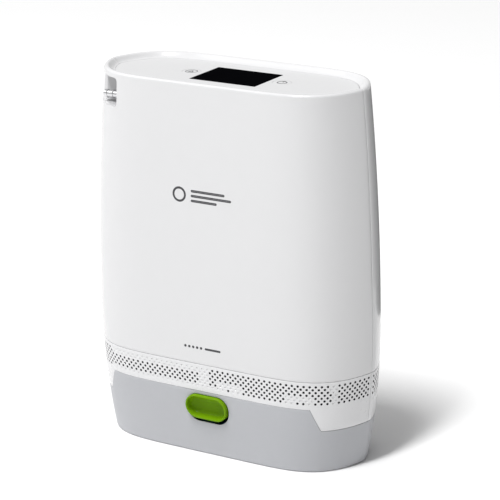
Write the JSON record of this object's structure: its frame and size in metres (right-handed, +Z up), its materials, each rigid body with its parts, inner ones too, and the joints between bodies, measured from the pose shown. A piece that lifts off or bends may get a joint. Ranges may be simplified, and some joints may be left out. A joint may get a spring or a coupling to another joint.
{
  "type": "portable oxygen concentrator",
  "caption": "Slim upright portable oxygen concentrator: glossy two-part casing, recessed top panel with display, perforated band, corner outlet nozzle and slide-on battery with latch button.",
  "frame": {"origin": "middle of the underside of the battery pack, where the unit stands", "axes": "+Z up, -Y out of the front with the release button, +X to the right of a person who faces the front"},
  "size_m": [0.2108, 0.0906, 0.258],
  "materials": {
    "white_shell": "gloss moulded casing",
    "white_band": "gloss moulded perforated band and skirt",
    "panel_white": "satin control panel and keys",
    "black_glass": "polished black display window",
    "grey_case": "fine-textured satin battery casing",
    "green_button": "gloss moulded button",
    "nickel": "bright plated fitting",
    "brass": "turned brass",
    "steel": "plain steel",
    "cast_alloy": "die-cast alloy",
    "drawn_alloy": "drawn alloy canister",
    "circuit_board": "solder-masked circuit board",
    "black_plastic": "fine-textured black moulding",
    "mount_rubber": "soft rubber bush",
    "milky_hose": "translucent silicone and natural plastic",
    "filter_foam": "open-cell foam",
    "cell_wrap": "heat-shrink sleeve",
    "label_grey": "printed film with no text"
  },
  "bodies": {
    "main_unit": {"front_shell": "white_shell", "rear_shell": "white_shell", "lower_band_front": "white_band", "lower_band_rear": "white_band", "control_panel": "panel_white", "display_window": "black_glass", "display_module": "black_plastic", "display_board": "circuit_board", "nozzle_pocket": "white_shell", "outlet_nozzle": "nickel", "nozzle_nut": "brass", "dc_inlet_socket": "black_plastic", "dc_inlet_pin": "brass", "rating_label": "label_grey", "shell_screw_1": "steel", "shell_screw_2": "steel", "shell_screw_3": "steel", "shell_screw_4": "steel", "chassis_floor": "black_plastic", "battery_receptacle": "black_plastic", "compressor_crankcase": "cast_alloy", "motor_can": "steel", "compressor_head_left": "cast_alloy", "compressor_head_right": "cast_alloy", "compressor_mount_left_front": "mount_rubber", "compressor_mount_left_rear": "mount_rubber", "compressor_mount_right_front": "mount_rubber", "compressor_mount_right_rear": "mount_rubber", "compressor_hose": "milky_hose", "fan_frame": "black_plastic", "lower_manifold": "cast_alloy", "upper_manifold": "cast_alloy", "sieve_bed_left": "drawn_alloy", "sieve_bed_right": "drawn_alloy", "product_tank": "drawn_alloy", "solenoid_valve_1": "black_plastic", "solenoid_valve_2": "black_plastic", "product_hose": "milky_hose", "control_board": "circuit_board", "heat_sink": "cast_alloy", "intake_filter": "filter_foam", "intake_muffler": "milky_hose", "buzzer": "black_plastic"},
    "battery_pack": {"battery_case": "grey_case", "battery_lid": "grey_case", "battery_plug": "black_plastic", "battery_board": "circuit_board", "cell_pair_1": "cell_wrap", "cell_pair_2": "cell_wrap", "cell_pair_3": "cell_wrap", "cell_pair_4": "cell_wrap"},
    "release_latch": {"release_button": "green_button", "latch_slider": "black_plastic"},
    "alert_key": {"alert_key": "panel_white"},
    "power_key": {"power_key": "panel_white"},
    "compressor_rotor": {"compressor_rotor": "steel"},
    "piston_left": {"piston_left": "cast_alloy"},
    "piston_right": {"piston_right": "cast_alloy"},
    "fan_rotor": {"fan_rotor": "black_plastic"}
  },
  "joints": [
    {"name": "battery_slide", "type": "slide", "parent": "main_unit", "child": "battery_pack", "axis": [0, 0, -1], "range_m": [0, 0.06]},
    {"name": "release_button_press", "type": "slide", "parent": "battery_pack", "child": "release_latch", "axis": [0, 1, 0], "range_m": [0, 0.0026], "stiffness_N_per_m": 900, "springref_m": -0.001},
    {"name": "alert_key_press", "type": "slide", "parent": "main_unit", "child": "alert_key", "axis": [0, 0, -1], "range_m": [0, 0.0005], "stiffness_N_per_m": 800, "springref_m": -0.0005},
    {"name": "power_key_press", "type": "slide", "parent": "main_unit", "child": "power_key", "axis": [0, 0, -1], "range_m": [0, 0.0005], "stiffness_N_per_m": 800, "springref_m": -0.0005},
    {"name": "compressor_spin", "type": "hinge", "parent": "main_unit", "child": "compressor_rotor", "pos_m": [-0.033, 0, 0.088], "axis": [0, 1, 0], "continuous": true},
    {"name": "piston_left_stroke", "type": "slide", "parent": "main_unit", "child": "piston_left", "axis": [1, 0, 0], "range_m": [-0.003, 0.003]},
    {"name": "piston_right_stroke", "type": "slide", "parent": "main_unit", "child": "piston_right", "axis": [1, 0, 0], "range_m": [-0.003, 0.003]},
    {"name": "fan_spin", "type": "hinge", "parent": "main_unit", "child": "fan_rotor", "pos_m": [0.055, 0, 0.0612], "axis": [0, 0, 1], "continuous": true}
  ]
}
